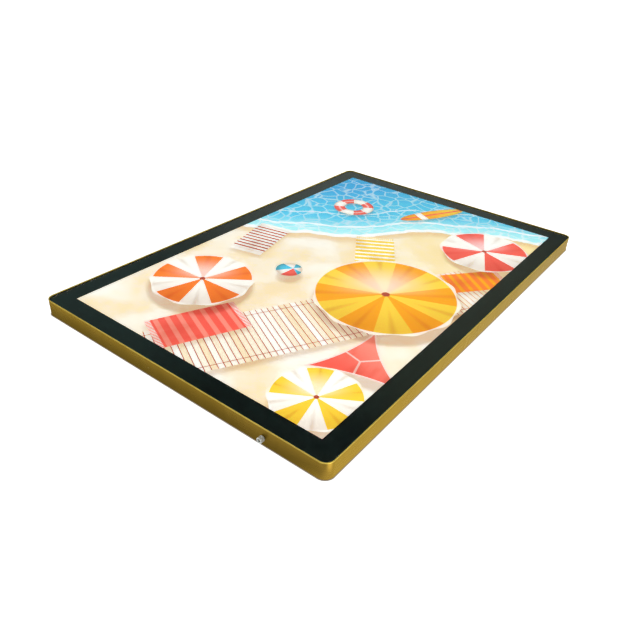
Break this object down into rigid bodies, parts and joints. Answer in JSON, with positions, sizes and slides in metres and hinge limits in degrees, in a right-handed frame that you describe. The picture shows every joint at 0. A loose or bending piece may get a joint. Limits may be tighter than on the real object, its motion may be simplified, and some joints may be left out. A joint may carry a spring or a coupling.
{
  "type": "led poster light box",
  "caption": "Slim edge-lit poster light box: rounded aluminium frame, lift-off clear cover with printed border, light guide stack, back panel with keyholes and a low-voltage inlet.",
  "frame": {"origin": "under the middle of the whole box, inlet barrel included, on the plane that its back rim lies on", "axes": "+X across the poster to its right, +Y up the poster to its top edge, +Z out of its front"},
  "size_m": [0.6, 0.9076, 0.03],
  "materials": {
    "gold_anodised": "satin anodised",
    "clear_acrylic": "clear polished",
    "border_ink": "printed gloss",
    "zinc_plate": "zinc plated",
    "nickel_magnet": "nickel plated",
    "poster_film": "backlit film",
    "opal_diffuser": "opal",
    "guide_acrylic": "clear with dot print",
    "reflector_white": "white",
    "mill_aluminium": "mill",
    "led_board": "white solder mask",
    "foam_grey": "cellular",
    "back_sheet": "satin",
    "screw_steel": "plain",
    "nickel_plate": "satin nickel",
    "black_plastic": "moulded",
    "brass_contact": "bright",
    "lead_sheath": "matt"
  },
  "bodies": {
    "housing": {"back_panel": "back_sheet", "back_screw_bottom_1": "screw_steel", "back_screw_bottom_2": "screw_steel", "back_screw_left_1": "screw_steel", "back_screw_left_2": "screw_steel", "back_screw_left_3": "screw_steel", "back_screw_left_4": "screw_steel", "back_screw_right_1": "screw_steel", "back_screw_right_2": "screw_steel", "back_screw_right_3": "screw_steel", "back_screw_right_4": "screw_steel", "back_screw_top_1": "screw_steel", "back_screw_top_2": "screw_steel", "cross_bar_lower": "mill_aluminium", "cross_bar_upper": "mill_aluminium", "diffuser_sheet": "opal_diffuser", "end_foam_bottom": "foam_grey", "end_foam_top": "foam_grey", "end_rail_bottom": "mill_aluminium", "end_rail_top": "mill_aluminium", "frame_extrusion": "gold_anodised", "hanger_plate_left": "zinc_plate", "hanger_plate_right": "zinc_plate", "hanger_rivet_left_1": "mill_aluminium", "hanger_rivet_left_2": "mill_aluminium", "hanger_rivet_right_1": "mill_aluminium", "hanger_rivet_right_2": "mill_aluminium", "inlet_barrel": "nickel_plate", "inlet_insulator": "black_plastic", "inlet_nut": "nickel_plate", "inlet_pin": "brass_contact", "led_bar_left": "led_board", "led_bar_right": "led_board", "led_rail_left": "mill_aluminium", "led_rail_right": "mill_aluminium", "light_guide": "guide_acrylic", "magnet_bottom_1": "nickel_magnet", "magnet_bottom_2": "nickel_magnet", "magnet_left_1": "nickel_magnet", "magnet_left_2": "nickel_magnet", "magnet_left_3": "nickel_magnet", "magnet_left_4": "nickel_magnet", "magnet_right_1": "nickel_magnet", "magnet_right_2": "nickel_magnet", "magnet_right_3": "nickel_magnet", "magnet_right_4": "nickel_magnet", "magnet_top_1": "nickel_magnet", "magnet_top_2": "nickel_magnet", "poster_sheet": "poster_film", "reflector_sheet": "reflector_white", "supply_lead_left": "lead_sheath", "supply_lead_right": "lead_sheath"},
    "cover": {"border_print": "border_ink", "cover_panel": "clear_acrylic", "keeper_strip_bottom": "zinc_plate", "keeper_strip_left": "zinc_plate", "keeper_strip_right": "zinc_plate", "keeper_strip_top": "zinc_plate"}
  },
  "joints": [
    {"name": "cover_lift", "type": "slide", "parent": "housing", "child": "cover", "axis": [0, 0, 1], "range_m": [0, 0.08]}
  ]
}
